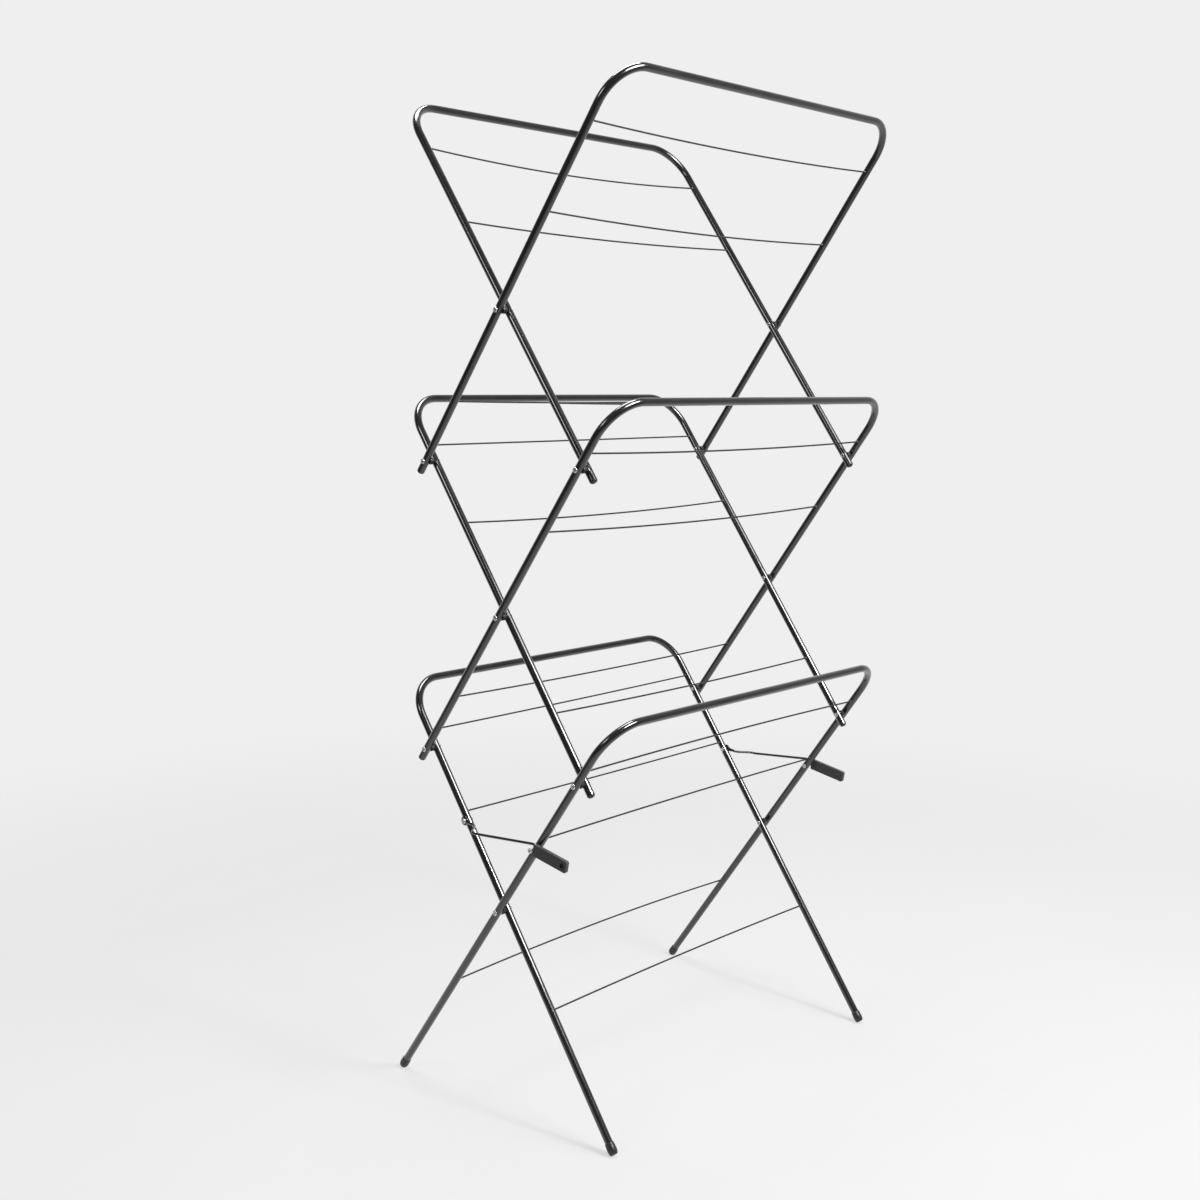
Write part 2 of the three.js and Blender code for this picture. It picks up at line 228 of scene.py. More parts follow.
add_node(powder_coat, "ShaderNodeOutputMaterial", (), {"Surface": (coat_surface, "BSDF")})


def bend_hoop(tier, width):
    """Half a hoop from the leg's end to the middle of the top bar, mirrored to the other side."""
    leg_x = LEG_X[width]
    reach = FLOOR_LEG_REACH if tier == 0 else UPPER_LEG_REACH
    bend_start = TOP_REACH - BEND_RADIUS
    bpy.ops.object.select_all(action="DESELECT")
    bpy.ops.mesh.primitive_circle_add(
        vertices=TUBE_SIDES, radius=TUBE_RADIUS, location=(leg_x, 0, -reach)
    )
    hoop = begin(f"{TIERS[tier]}_{width}_tube")
    extrude((0, 0, reach + bend_start))
    bpy.ops.mesh.spin(
        steps=BEND_STEPS,
        angle=math.pi / 2,
        center=(leg_x - BEND_RADIUS, 0, bend_start),
        axis=(0, 1, 0),
    )
    extrude((BEND_RADIUS - leg_x, 0, 0))
    bpy.ops.object.mode_set(mode="OBJECT")
    apply_modifier(hoop, "MIRROR", merge_threshold=0.01 * MM)
    bpy.ops.object.mode_set(mode="EDIT")
    close_and_face_outwards()
    # The cut ends show the tube's wall and bore.
    select_faces(hoop, lambda middle, normal: normal.z < -0.99 and middle.z < 1 * MM - reach)
    bpy.ops.mesh.inset(thickness=TUBE_WALL, use_individual=True)
    extrude((0, 0, BORE_DEPTH))
    return settle(hoop, hoop_place(tier, width))


for tier in range(3):
    for width in WIDTHS:
        hoop = bend_hoop(tier, width)
        name = f"{TIERS[tier]}_{width}"
        finish_piece(hoop, f"{name}_frame", "gloss_black_coat", powder_coat, f"{name}_hoop")

# ---------------------------------------------------------------------------------------------
# Wire rails
# Three 2.4 mm steel wires to a hoop, dipped in black plastic. Each has its own shallow bow and goes
# into the tubes at both ends, where the coating swells into a small bead.
# ---------------------------------------------------------------------------------------------
RAIL_RADIUS = 1.2 * MM
RAIL_REACHES = (276 * MM, 148 * MM, -148 * MM)
# How far each rail's middle hangs below its ends, by tier; a minus sign means that it stands up.
RAIL_BOWS = {
    "narrow": ((1, 1, -3), (0.1, 5, 3), (9, 5, 3)),
    "wide": ((-3, -2, -6.5), (4, 5, 3), (5.5, 6, 3)),
}
RAIL_STEPS = 20
BEAD_STEPS = ((0.9 * MM, 1.12), (0.8 * MM, 1.25), (0.7 * MM, 1.25), (1.1 * MM, 1.0))


# Dipped PVC: brown-black and satin, with slow changes of gloss where the dip ran, about 8 mm long.
rail_coat = new_material("satin_black_dipped_plastic")
rail_place = add_node(rail_coat, "ShaderNodeTexCoord")
rail_runs = add_node(
    rail_coat,
    "ShaderNodeTexNoise",
    {"Scale": 1 / (8 * MM), "Detail": 2.0},
    {"Vector": (rail_place, "Object")},
)
rail_tint = add_node(rail_coat, "ShaderNodeValToRGB", (), {"Fac": (rail_runs, "Fac")})
rail_tint.color_ramp.elements[0].position = 0.3
rail_tint.color_ramp.elements[0].color = colour("#130f0f")
rail_tint.color_ramp.elements[1].position = 0.75
rail_tint.color_ramp.elements[1].color = colour("#201918")
rail_gloss = add_node(
    rail_coat,
    "ShaderNodeMapRange",
    {"To Min": 0.36, "To Max": 0.52},
    {"Value": (rail_runs, "Fac")},
)
rail_surface = add_node(
    rail_coat,
    "ShaderNodeBsdfPrincipled",
    {"IOR": 1.5},
    {"Base Color": (rail_tint, "Color"), "Roughness": (rail_gloss, "Result")},
)
add_node(rail_coat, "ShaderNodeOutputMaterial", (), {"Surface": (rail_surface, "BSDF")})


def hang_rail(name, tier, width, reach, bow):
    """Half a rail swung about the far centre of its bow, beaded at the tube, and mirrored."""
    at_wall = LEG_X[width] - TUBE_RADIUS
    to_bead = at_wall - sum(step for step, _ in BEAD_STEPS[:-1])
    end = point_on(tier, width, 0, reach)
    bow_radius = (at_wall**2 + bow**2) / (2 * bow)
    lowest = end - Vector((0, 0, bow))
    swing = math.asin(to_bead / bow_radius)
    bpy.ops.object.select_all(action="DESELECT")
    bpy.ops.mesh.primitive_circle_add(
        vertices=12, radius=RAIL_RADIUS, location=lowest, rotation=(0, math.pi / 2, 0)
    )
    rail = begin(name)
    bpy.ops.mesh.spin(
        steps=RAIL_STEPS,
        angle=swing,
        center=lowest + Vector((0, 0, bow_radius)),
        axis=(0, 1, 0),
    )
    along = Vector((math.cos(swing), 0, math.sin(swing)))
    place = lowest + Vector((to_bead, 0, bow_radius * (1 - math.cos(swing))))
    for step, swell in BEAD_STEPS:
        extrude(along * step)
        place = place + along * step
        bpy.ops.transform.resize(value=(swell, swell, swell), center_override=place)
    bpy.ops.object.mode_set(mode="OBJECT")
    apply_modifier(rail, "MIRROR", merge_threshold=0.01 * MM)
    bpy.ops.object.mode_set(mode="EDIT")
    close_and_face_outwards()
    return settle(rail)


for tier in range(3):
    for width in WIDTHS:
        for row, reach in enumerate(RAIL_REACHES, 1):
            name = f"{TIERS[tier]}_{width}"
            bow = RAIL_BOWS[width][tier][row - 1] * MM
            rail = hang_rail(f"{name}_wire_{row}", tier, width, reach, bow)
            finish_piece(rail, f"{name}_frame", "rail_coat", rail_coat, f"{name}_rail_{row}")

# ---------------------------------------------------------------------------------------------
# Pivot rivets and their collars
# Fourteen zinc-plated tubular rivets, each through a narrow and a wide leg. The outer end is rolled
# over, so it shows a ring round a dimple; the inner head is nearly flush. A black nylon collar on
# each holds the two tubes apart.
# ---------------------------------------------------------------------------------------------
RIVET_SIDES = 32
SHANK_RADIUS = 2 * MM
HEAD_RADIUS = 3.7 * MM
HEAD_HEIGHT = 1.5 * MM
FLUSH_HEAD_RADIUS = 3.2 * MM
FLUSH_HEAD_HEIGHT = 0.6 * MM
DIMPLE_RADIUS = 1.1 * MM
DIMPLE_DROP = 0.2 * MM  # below the head's seat
RIM_EDGE = 0.25  # how much of a head's height its rim starts at
COLLAR_RADIUS = 5 * MM
COLLAR_EDGE = 0.7 * MM
COLLAR_BORE = SHANK_RADIUS + 0.2 * MM
LEG_GAP = LEG_X["wide"] - LEG_X["narrow"]
HEAD_SEAT = TUBE_RADIUS - 0.1 * MM  # a head beds slightly into the tube's round side

# Bright zinc plate on steel: a pale, slightly blue-grey metal, with cloudy changes of gloss about
# 1 mm across and fine turning marks left by the riveting tool.
zinc_plate = new_material("bright_zinc_plated_steel")
zinc_place = add_node(zinc_plate, "ShaderNodeTexCoord")
zinc_clouds = add_node(
    zinc_plate,
    "ShaderNodeTexNoise",
    {"Scale": 1 / (1 * MM), "Detail": 3.0},
    {"Vector": (zinc_place, "Object")},
)
zinc_tint = add_node(zinc_plate, "ShaderNodeValToRGB", (), {"Fac": (zinc_clouds, "Fac")})
zinc_tint.color_ramp.elements[0].position = 0.3
zinc_tint.color_ramp.elements[0].color = colour("#c9cac8")
zinc_tint.color_ramp.elements[1].position = 0.7
zinc_tint.color_ramp.elements[1].color = colour("#e9e8e4")
zinc_gloss = add_node(
    zinc_plate,
    "ShaderNodeMapRange",
    {"To Min": 0.3, "To Max": 0.46},
    {"Value": (zinc_clouds, "Fac")},
)
zinc_relief = add_node(
    zinc_plate,
    "ShaderNodeBump",
    {"Strength": 0.3, "Distance": 0.03 * MM},
    {"Height": (zinc_clouds, "Fac")},
)
zinc_surface = add_node(
    zinc_plate,
    "ShaderNodeBsdfPrincipled",
    {"Metallic": 1.0},
    {
        "Base Color": (zinc_tint, "Color"),
        "Roughness": (zinc_gloss, "Result"),
        "Normal": (zinc_relief, "Normal"),
    },
)
add_node(zinc_plate, "ShaderNodeOutputMaterial", (), {"Surface": (zinc_surface, "BSDF")})


def moulded_plastic(name, dark, light, grain, gloss):
    """Moulded black plastic: satin, with the mould's fine spark-eroded grain as a slight relief."""
    material = new_material(name)
    place = add_node(material, "ShaderNodeTexCoord")
    spark = add_node(
        material,
        "ShaderNodeTexNoise",
        {"Scale": 1 / grain, "Detail": 4.0, "Roughness": 0.6},
        {"Vector": (place, "Object")},
    )
    shade = add_node(material, "ShaderNodeValToRGB", (), {"Fac": (spark, "Fac")})
    shade.color_ramp.elements[0].position = 0.3
    shade.color_ramp.elements[0].color = colour(dark)
    shade.color_ramp.elements[1].position = 0.7
    shade.color_ramp.elements[1].color = colour(light)
    sheen = add_node(
        material,
        "ShaderNodeMapRange",
        {"To Min": gloss - 0.06, "To Max": gloss + 0.08},
        {"Value": (spark, "Fac")},
    )
    relief = add_node(
        material,
        "ShaderNodeBump",
        {"Strength": 0.5, "Distance": 0.05 * MM},
        {"Height": (spark, "Fac")},
    )
    surface = add_node(
        material,
        "ShaderNodeBsdfPrincipled",
        {"IOR": 1.49},
        {
            "Base Color": (shade, "Color"),
            "Roughness": (sheen, "Result"),
            "Normal": (relief, "Normal"),
        },
    )
    add_node(material, "ShaderNodeOutputMaterial", (), {"Surface": (surface, "BSDF")})
    return material


# Nylon 6 collars: smoother and a little shinier than the polyethylene feet.
collar_nylon = moulded_plastic("moulded_black_nylon", "#161617", "#202022", 0.6 * MM, 0.42)


def turn(name, profile, sides=RIVET_SIDES):
    """A turned piece on the Z axis: a disc drawn out and sized at each (radius, height)."""
    radius, height = profile[0]
    bpy.ops.object.select_all(action="DESELECT")
    bpy.ops.mesh.primitive_circle_add(
        vertices=sides, radius=radius, fill_type="NGON", location=(0, 0, height)
    )
    piece = begin(name)
    for next_radius, next_height in profile[1:]:
        extrude((0, 0, next_height - height))
        grow = next_radius / radius
        bpy.ops.transform.resize(value=(grow, grow, 1), center_override=(0, 0, next_height))
        radius, height = next_radius, next_height
    bpy.ops.mesh.select_all(action="SELECT")
    bpy.ops.mesh.normals_make_consistent(inside=False)
    return piece


def rolled_head(seat, outwards, head_radius=HEAD_RADIUS, head_height=HEAD_HEIGHT):
    """A rolled-over head's profile, from its dimple over the rim to its underside at the seat."""
    ring_width = (head_radius - DIMPLE_RADIUS) / 2
    ring_middle = DIMPLE_RADIUS + ring_width
    profile = [(DIMPLE_RADIUS * 0.8, seat - outwards * DIMPLE_DROP)]
    for step in range(9):
        angle = math.pi * (1 - step / 8)
        height = head_height * (RIM_EDGE + (1 - RIM_EDGE) * math.sin(angle) ** 0.8)
        profile.append((ring_middle + ring_width * math.cos(angle), seat + outwards * height))
    profile.append((head_radius * 0.97, seat))
    return profile


def copy_piece(model, name, place):
    """A copy with its own mesh, put where it belongs in the mesh itself."""
    piece = model.copy()
    piece.data = model.data.copy()
    piece.name = name
    piece.data.name = name
    bpy.context.scene.collection.objects.link(piece)
    piece.data.transform(place)
    if place.determinant() < 0:
        piece.data.flip_normals()
    return piece


def outwards_from(point, side):
    """Turns a piece made along Z to point out of the airer's end, with its foot at a point."""
    return Matrix.Translation(point) @ Matrix.Rotation(side * math.pi / 2, 4, "Y")


inner_head = rolled_head(-HEAD_SEAT, -1, FLUSH_HEAD_RADIUS, FLUSH_HEAD_HEIGHT)
rivet_profile = list(inner_head)
rivet_profile += [(SHANK_RADIUS, -HEAD_SEAT), (SHANK_RADIUS, LEG_GAP + HEAD_SEAT)]
rivet_profile += rolled_head(LEG_GAP + HEAD_SEAT, 1)[::-1]
model_rivet = settle(turn("model_rivet", rivet_profile))

collar_from = TUBE_RADIUS
collar_to = LEG_GAP - TUBE_RADIUS
model_collar = turn(
    "model_collar",
    [
        (COLLAR_BORE, collar_from),
        (COLLAR_RADIUS - COLLAR_EDGE, collar_from),
        (COLLAR_RADIUS - COLLAR_EDGE * 0.3, collar_from + COLLAR_EDGE * 0.3),
        (COLLAR_RADIUS, collar_from + COLLAR_EDGE),
        (COLLAR_RADIUS, collar_to - COLLAR_EDGE),
        (COLLAR_RADIUS - COLLAR_EDGE * 0.3, collar_to - COLLAR_EDGE * 0.3),
        (COLLAR_RADIUS - COLLAR_EDGE, collar_to),
        (COLLAR_BORE, collar_to),
    ],
)
settle(model_collar)


def fit_pivots(name, kind, tier, width, reach, body):
    for end, side in ENDS.items():
        place = outwards_from(point_on(tier, width, side * LEG_X["narrow"], reach), side)
        rivet = copy_piece(model_rivet, f"{name}_rivet_{end}", place)
        finish_piece(rivet, body, "zinc_rivet", zinc_plate, f"{name}_{kind}_{end}")
        collar = copy_piece(model_collar, f"{name}_collar_{end}", place)
        finish_piece(collar, body, "plug_plastic", collar_nylon)


for tier in range(3):
    tier_name = TIERS[tier]
    narrow_body = f"{tier_name}_narrow_frame"
    fit_pivots(f"{tier_name}_scissor", "pivot", tier, "narrow", 0, narrow_body)
    if tier < 2:
        fit_pivots(f"{tier_name}_rear", "joint", tier, "narrow", JOINT_REACH, narrow_body)
        wide_body = f"{tier_name}_wide_frame"
        fit_pivots(f"{tier_name}_front", "joint", tier, "wide", JOINT_REACH, wide_body)
bpy.data.objects.remove(model_rivet)
bpy.data.objects.remove(model_collar)

# ---------------------------------------------------------------------------------------------
# Feet
# Four moulded polyethylene caps pushed over the leg ends. Each has a lip round its mouth, swells
# towards its end, and is worn to a small flat sole where it meets the floor.
# ---------------------------------------------------------------------------------------------
FOOT_END = 346.8 * MM  # from the lowest scissor pivot down to the foot's end
FOOT_PROFILE = (
    (5.55 * MM, 16.0 * MM),
    (5.9 * MM, 16.0 * MM),
    (6.2 * MM, 15.6 * MM),
    (6.3 * MM, 14.5 * MM),
    (6.25 * MM, 14.0 * MM),
    (6.45 * MM, 12.2 * MM),
    (6.65 * MM, 9.8 * MM),
    (6.7 * MM, 7.4 * MM),
    (6.6 * MM, 5.2 * MM),
    (6.35 * MM, 3.4 * MM),
    (6.0 * MM, 2.0 * MM),
    (5.55 * MM, 1.0 * MM),
    (5.05 * MM, 0.35 * MM),
    (4.5 * MM, 0.0),
)
foot_plastic = moulded_plastic("moulded_black_polyethylene", "#1b1b1c", "#29292b", 0.8 * MM, 0.32)

for width, name in (("narrow", "front"), ("wide", "rear")):
    for end, side in ENDS.items():
        foot = turn(f"{name}_cap_{end}", [(r, FOOT_END - up) for r, up in FOOT_PROFILE], 40)
        bpy.ops.object.mode_set(mode="OBJECT")
        tip_down = Matrix.Translation((side * LEG_X[width], 0, 0)) @ Matrix.Rotation(math.pi, 4, "Y")
        foot.data.transform(hoop_place(0, width) @ tip_down)
        bpy.ops.object.mode_set(mode="EDIT")
        bpy.ops.mesh.select_all(action="SELECT")
        bpy.ops.mesh.bisect(
            plane_co=(0, 0, 0), plane_no=(0, 0, 1), use_fill=True, clear_inner=True
        )
        bpy.ops.mesh.select_all(action="SELECT")
        bpy.ops.mesh.normals_make_consistent(inside=False)
        settle(foot)
        body = f"lower_{width}_frame"
        finish_piece(foot, body, "foot_plastic", foot_plastic, f"{name}_foot_{end}")

# ---------------------------------------------------------------------------------------------
# End plugs
# Eight domed polyethylene plugs, hammered into the cut lower ends of the four upper hoops' legs.
# ---------------------------------------------------------------------------------------------
PLUG_RADIUS = 5.4 * MM
PLUG_DOME = 3.6 * MM
PLUG_LIP = 0.3 * MM
PLUG_STEM = 4.4 * MM
PLUG_STEM_LENGTH = 8 * MM

plug_profile = [(PLUG_STEM, -PLUG_STEM_LENGTH), (PLUG_STEM, 0), (PLUG_RADIUS * 0.97, 0)]
for step in range(8):
    angle = math.pi / 2 * step / 7
    spread = max(math.cos(angle), 0.05)
    plug_profile.append((PLUG_RADIUS * spread, PLUG_LIP + PLUG_DOME * math.sin(angle)))
model_plug = settle(turn("model_plug", plug_profile))

for tier in (1, 2):
    for width in WIDTHS:
        for end, side in ENDS.items():
            mouth = Vector((side * LEG_X[width], 0, -UPPER_LEG_REACH))
            tip_down = Matrix.Translation(mouth) @ Matrix.Rotation(math.pi, 4, "Y")
            name = f"{TIERS[tier]}_{width}"
            plug = copy_piece(model_plug, f"{name}_cap_{end}", hoop_place(tier, width) @ tip_down)
            body = f"{name}_frame"
            finish_piece(plug, body, "plug_plastic", foot_plastic, f"{name}_plug_{end}")
bpy.data.objects.remove(model_plug)

# ---------------------------------------------------------------------------------------------
# Lock arms
# Two arms of 3.8 mm steel wire, pressed flat into an eye at one end, riveted to the lower narrow
# hoop, and cranked outwards past the wide hoop's leg. Powder-coated like the tubes.
# ---------------------------------------------------------------------------------------------
ARM_RADIUS = 1.9 * MM
ARM_SIDES = 20
EYE_RADIUS = 6.6 * MM
EYE_THICKNESS = 2 * MM
NECK_FROM = 5 * MM  # from the eye's middle to where the flattening starts to fade
EYE_EDGE = 0.5 * MM
FLATTENED = 0.52  # the wire's thickness beside the eye, as a part of its own
SPREAD = 1.7  # and its width there
# From the eye on: how far, and how much thicker and narrower the neck gets there.
NECK_STEPS = (
    (2.5 * MM, 1.08, 0.92),
    (3 * MM, 1.25, 0.82),
    (3 * MM, 1.3, 0.85),
    (3.5 * MM, 1.095, 0.917),
)
CRANK_TURN = math.radians(50)
CRANK_RADIUS = 8 * MM
CRANK_STEPS = 6
DROOP_TO_CRANK = math.radians(6.5)
RISE_TO_STUD = math.radians(5)
STRAIGHT_ENDS = 2 * MM  # how far short of the stud the long straight ends
# Past the stud: the wire's slope, and how far it runs at that slope down into the handle.
INTO_HANDLE = ((math.radians(-19), 7 * MM), (math.radians(-11), 13 * MM))
SLOPE_BEND = 14 * MM
SLOPE_STEPS = 3

eye_middle = middle_of("lock_arm_rivet_right")
stud_middle = middle_of("lock_stud_right")
arm_low, arm_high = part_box("lock_arm_right")
EYE_FACE_X = arm_low.x
WIRE_X = EYE_FACE_X + ARM_RADIUS
STRAIGHT_X = arm_high.x - ARM_RADIUS


def make_arm():
    """The right-hand arm, from its eye to its end in the handle."""
    start = Vector((WIRE_X, eye_middle.y, eye_middle.z))
    forward = Vector((0, -math.cos(DROOP_TO_CRANK), -math.sin(DROOP_TO_CRANK)))
    out = Vector((1, 0, 0))
    up = out.cross(forward)
    place = start + forward * NECK_FROM
    bpy.ops.object.select_all(action="DESELECT")
    bpy.ops.mesh.primitive_circle_add(
        vertices=ARM_SIDES,
        radius=ARM_RADIUS,
        location=place,
        rotation=(math.pi / 2 + DROOP_TO_CRANK, 0, 0),
    )
    arm = begin("lock_wire_right")
    # Flattened at the eye, and round again by the crank.
    bpy.ops.transform.resize(value=(FLATTENED, SPREAD, SPREAD), center_override=place)
    for step, thicken, narrow in NECK_STEPS:
        extrude(forward * step)
        place = place + forward * step
        bpy.ops.transform.resize(value=(thicken, narrow, narrow), center_override=place)
    # The crank: out, across, and back to straight.
    offset = STRAIGHT_X - WIRE_X
    across = (offset - 2 * CRANK_RADIUS * (1 - math.cos(CRANK_TURN))) / math.sin(CRANK_TURN)
    bpy.ops.mesh.spin(
        steps=CRANK_STEPS,
        angle=CRANK_TURN,
        center=place + out * CRANK_RADIUS,
        axis=tuple(up),
    )
    heading = forward * math.cos(CRANK_TURN) + out * math.sin(CRANK_TURN)
    place = place + forward * CRANK_RADIUS * math.sin(CRANK_TURN)
    place = place + out * CRANK_RADIUS * (1 - math.cos(CRANK_TURN))
    extrude(heading * across)
    place = place + heading * across
    bend_side = forward * math.sin(CRANK_TURN) - out * math.cos(CRANK_TURN)
    bpy.ops.mesh.spin(
        steps=CRANK_STEPS,
        angle=-CRANK_TURN,
        center=place + bend_side * CRANK_RADIUS,
        axis=tuple(up),
    )
    place = place + forward * CRANK_RADIUS * math.sin(CRANK_TURN)
    place = place + out * CRANK_RADIUS * (1 - math.cos(CRANK_TURN))
    # Up along the straight, over the stud and down into the handle.
    heading_angle = -DROOP_TO_CRANK
    to_stud = abs(place.y - stud_middle.y) - STRAIGHT_ENDS
    for turn_to, length in ((RISE_TO_STUD, to_stud), *INTO_HANDLE):
        turn_by = turn_to - heading_angle
        side = 1 if turn_by > 0 else -1
        square = Vector((0, math.sin(heading_angle), math.cos(heading_angle))) * side
        bpy.ops.mesh.spin(
            steps=SLOPE_STEPS,
            angle=turn_by,
            center=place + square * SLOPE_BEND,
            axis=(1, 0, 0),
        )
        new_square = Vector((0, math.sin(turn_to), math.cos(turn_to))) * side
        place = place + (square - new_square) * SLOPE_BEND
        heading_angle = turn_to
        heading = Vector((0, -math.cos(turn_to), math.sin(turn_to)))
        extrude(heading * length)
        place = place + heading * length
    close_and_face_outwards()
    bpy.ops.object.mode_set(mode="OBJECT")
    return arm


def make_eye():
    """The pressed eye: a flat disc with a rounded edge and a hole for the rivet."""
    bpy.ops.object.select_all(action="DESELECT")
    bpy.ops.mesh.primitive_cylinder_add(
        vertices=40,
        radius=EYE_RADIUS,
        depth=EYE_THICKNESS,
        location=(EYE_FACE_X + EYE_THICKNESS / 2, eye_middle.y, eye_middle.z),
        rotation=(0, math.pi / 2, 0),
    )
    eye = begin("eye")
    bpy.ops.mesh.select_mode(type="EDGE")
    bpy.ops.mesh.select_all(action="DESELECT")
    bpy.ops.mesh.edges_select_sharp(sharpness=math.radians(60))
    bpy.ops.mesh.bevel(offset=EYE_EDGE, segments=3, affect="EDGES")
    bpy.ops.object.mode_set(mode="OBJECT")
    return eye


arm_right = make_arm()
eye = make_eye()
bpy.ops.object.select_all(action="DESELECT")
bpy.context.view_layer.objects.active = arm_right
arm_right.select_set(True)
apply_modifier(arm_right, "BOOLEAN", operation="UNION", object=eye, solver="EXACT")
bpy.data.objects.remove(eye)
settle(arm_right)

MIRROR_X = Matrix.Scale(-1, 4, (1, 0, 0))
arm_left = copy_piece(arm_right, "lock_wire_left", MIRROR_X)
for end, arm in (("left", arm_left), ("right", arm_right)):
    finish_piece(arm, f"lock_{end}", "gloss_black_coat", powder_coat, f"lock_arm_{end}")

# ---------------------------------------------------------------------------------------------
# Lock handles
# Moulded polypropylene tabs on the arms' ends, sloping down to the front, with softened edges and
# a round recess in the outer face near the front corner. The back edge hooks behind the stud.
# ---------------------------------------------------------------------------------------------
handle_low, handle_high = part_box("lock_handle_right")
HANDLE_SLOPE = math.radians(10.6)
HANDLE_LENGTH = 61.2 * MM
HANDLE_HEIGHT = 16.5 * MM
FRONT_CORNER = 3 * MM
BACK_CORNER = 1.5 * MM
HANDLE_EDGE = 0.6 * MM
RECESS_FROM_FRONT = 7.4 * MM
RECESS_RADIUS = 4.6 * MM
RECESS_DEPTH = 3 * MM
RECESS_RIM = 0.8 * MM
FLAT_BORDER = 0.25 * MM
handle_plastic = moulded_plastic("moulded_black_polypropylene", "#2d2c2d", "#434243", 0.9 * MM, 0.5)


def round_corners(piece, at_y, offset, segments):
    """Rounds the two edges that run across the tab's thickness at one of its ends."""
    bpy.ops.mesh.select_mode(type="EDGE")
    bpy.ops.mesh.select_all(action="DESELECT")
    bpy.ops.object.mode_set(mode="OBJECT")
    points = piece.data.vertices
    for edge in piece.data.edges:
        first, second = [points[i].co for i in edge.vertices]
        across = abs(first.x - second.x) > 1 * MM
        edge.select = across and abs(first.y - at_y) < 0.1 * MM
    bpy.ops.object.mode_set(mode="EDIT")
    bpy.ops.mesh.bevel(offset=offset, segments=segments, affect="EDGES")


def is_flat_side(face_middle, normal):
    to_side = min(abs(face_middle.x - handle_low.x), abs(face_middle.x - handle_high.x))
    return abs(normal.x) > 0.999 and to_side < 0.05 * MM


def mould_handle():
    """The right-hand tab: a block with rounded corners, a recess, soft edges, then its slope."""
    thickness = handle_high.x - handle_low.x
    middle = (handle_low + handle_high) / 2
    front = middle.y - HANDLE_LENGTH / 2
    bpy.ops.object.select_all(action="DESELECT")
    bpy.ops.mesh.primitive_cube_add(size=1, location=middle)
    handle = begin("lock_grip_right")
    bpy.ops.transform.resize(
        value=(thickness, HANDLE_LENGTH, HANDLE_HEIGHT), center_override=middle
    )
    round_corners(handle, front, FRONT_CORNER, 6)
    round_corners(handle, front + HANDLE_LENGTH, BACK_CORNER, 3)
    bpy.ops.object.mode_set(mode="OBJECT")
    # The recess, with a sloped rim.
    cutter = turn(
        "recess_cutter",
        [
            (RECESS_RADIUS - RECESS_RIM, -RECESS_DEPTH),
            (RECESS_RADIUS - RECESS_RIM, -RECESS_RIM),
            (RECESS_RADIUS, 0),
            (RECESS_RADIUS + RECESS_RIM, RECESS_RIM),
        ],
    )
    at_recess = Vector((handle_high.x, front + RECESS_FROM_FRONT, middle.z))
    settle(cutter, outwards_from(at_recess, 1))
    bpy.ops.object.select_all(action="DESELECT")
    bpy.context.view_layer.objects.active = handle
    handle.select_set(True)
    apply_modifier(handle, "BOOLEAN", operation="DIFFERENCE", object=cutter, solver="EXACT")
    bpy.data.objects.remove(cutter)
    apply_modifier(handle, "BEVEL", width=HANDLE_EDGE, segments=3, limit_method="ANGLE")
    # A narrow border inside each flat side keeps the side's shading flat.
    bpy.ops.object.mode_set(mode="EDIT")
    select_faces(handle, is_flat_side)
    bpy.ops.mesh.inset(thickness=FLAT_BORDER)
    to_middle = Matrix.Translation(middle)
    slope = Matrix.Rotation(HANDLE_SLOPE, 4, "X")
    return settle(handle, to_middle @ slope @ to_middle.inverted())


handle_right = mould_handle()
handle_left = copy_piece(handle_right, "lock_grip_left", MIRROR_X)
for end, handle in (("left", handle_left), ("right", handle_right)):
    finish_piece(handle, f"lock_{end}", "handle_plastic", handle_plastic, f"lock_handle_{end}")

# ---------------------------------------------------------------------------------------------
# Lock arm rivets and studs
# A short tubular rivet holds each eye to the narrow hoop. On the wide hoop a longer shouldered
# stud stands out past the handle's face; the wire drops over it to hold the airer open.
# ---------------------------------------------------------------------------------------------
_, rivet_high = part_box("lock_arm_rivet_right")
_, stud_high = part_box("lock_stud_right")
SHOULDER_RADIUS = 2.5 * MM

arm_rivet_top = rivet_high.x - HEAD_HEIGHT - LEG_X["narrow"]
arm_rivet_profile = list(inner_head)
arm_rivet_profile += [(SHANK_RADIUS, -HEAD_SEAT), (SHANK_RADIUS, arm_rivet_top)]
arm_rivet_profile += rolled_head(arm_rivet_top, 1)[::-1]
model_arm_rivet = settle(turn("model_arm_rivet", arm_rivet_profile))

stud_top = stud_high.x - HEAD_HEIGHT - LEG_X["wide"]
stud_profile = list(inner_head)
stud_profile += [(SHANK_RADIUS, -HEAD_SEAT), (SHANK_RADIUS, HEAD_SEAT)]
stud_profile += [(SHOULDER_RADIUS, HEAD_SEAT), (SHOULDER_RADIUS, stud_top)]
stud_profile += rolled_head(stud_top, 1)[::-1]
model_stud = settle(turn("model_stud", stud_profile))

for end, side in ENDS.items():
    place = Vector((side * LEG_X["narrow"], eye_middle.y, eye_middle.z))
    rivet = copy_piece(model_arm_rivet, f"lock_wire_rivet_{end}", outwards_from(place, side))
    body = "lower_narrow_frame"
    finish_piece(rivet, body, "zinc_rivet", zinc_plate, f"lock_arm_rivet_{end}")
    place = Vector((side * LEG_X["wide"], stud_middle.y, stud_middle.z))
    stud = copy_piece(model_stud, f"lock_peg_{end}", outwards_from(place, side))
    finish_piece(stud, "lower_wide_frame", "zinc_rivet", zinc_plate, f"lock_stud_{end}")
bpy.data.objects.remove(model_arm_rivet)
bpy.data.objects.remove(model_stud)

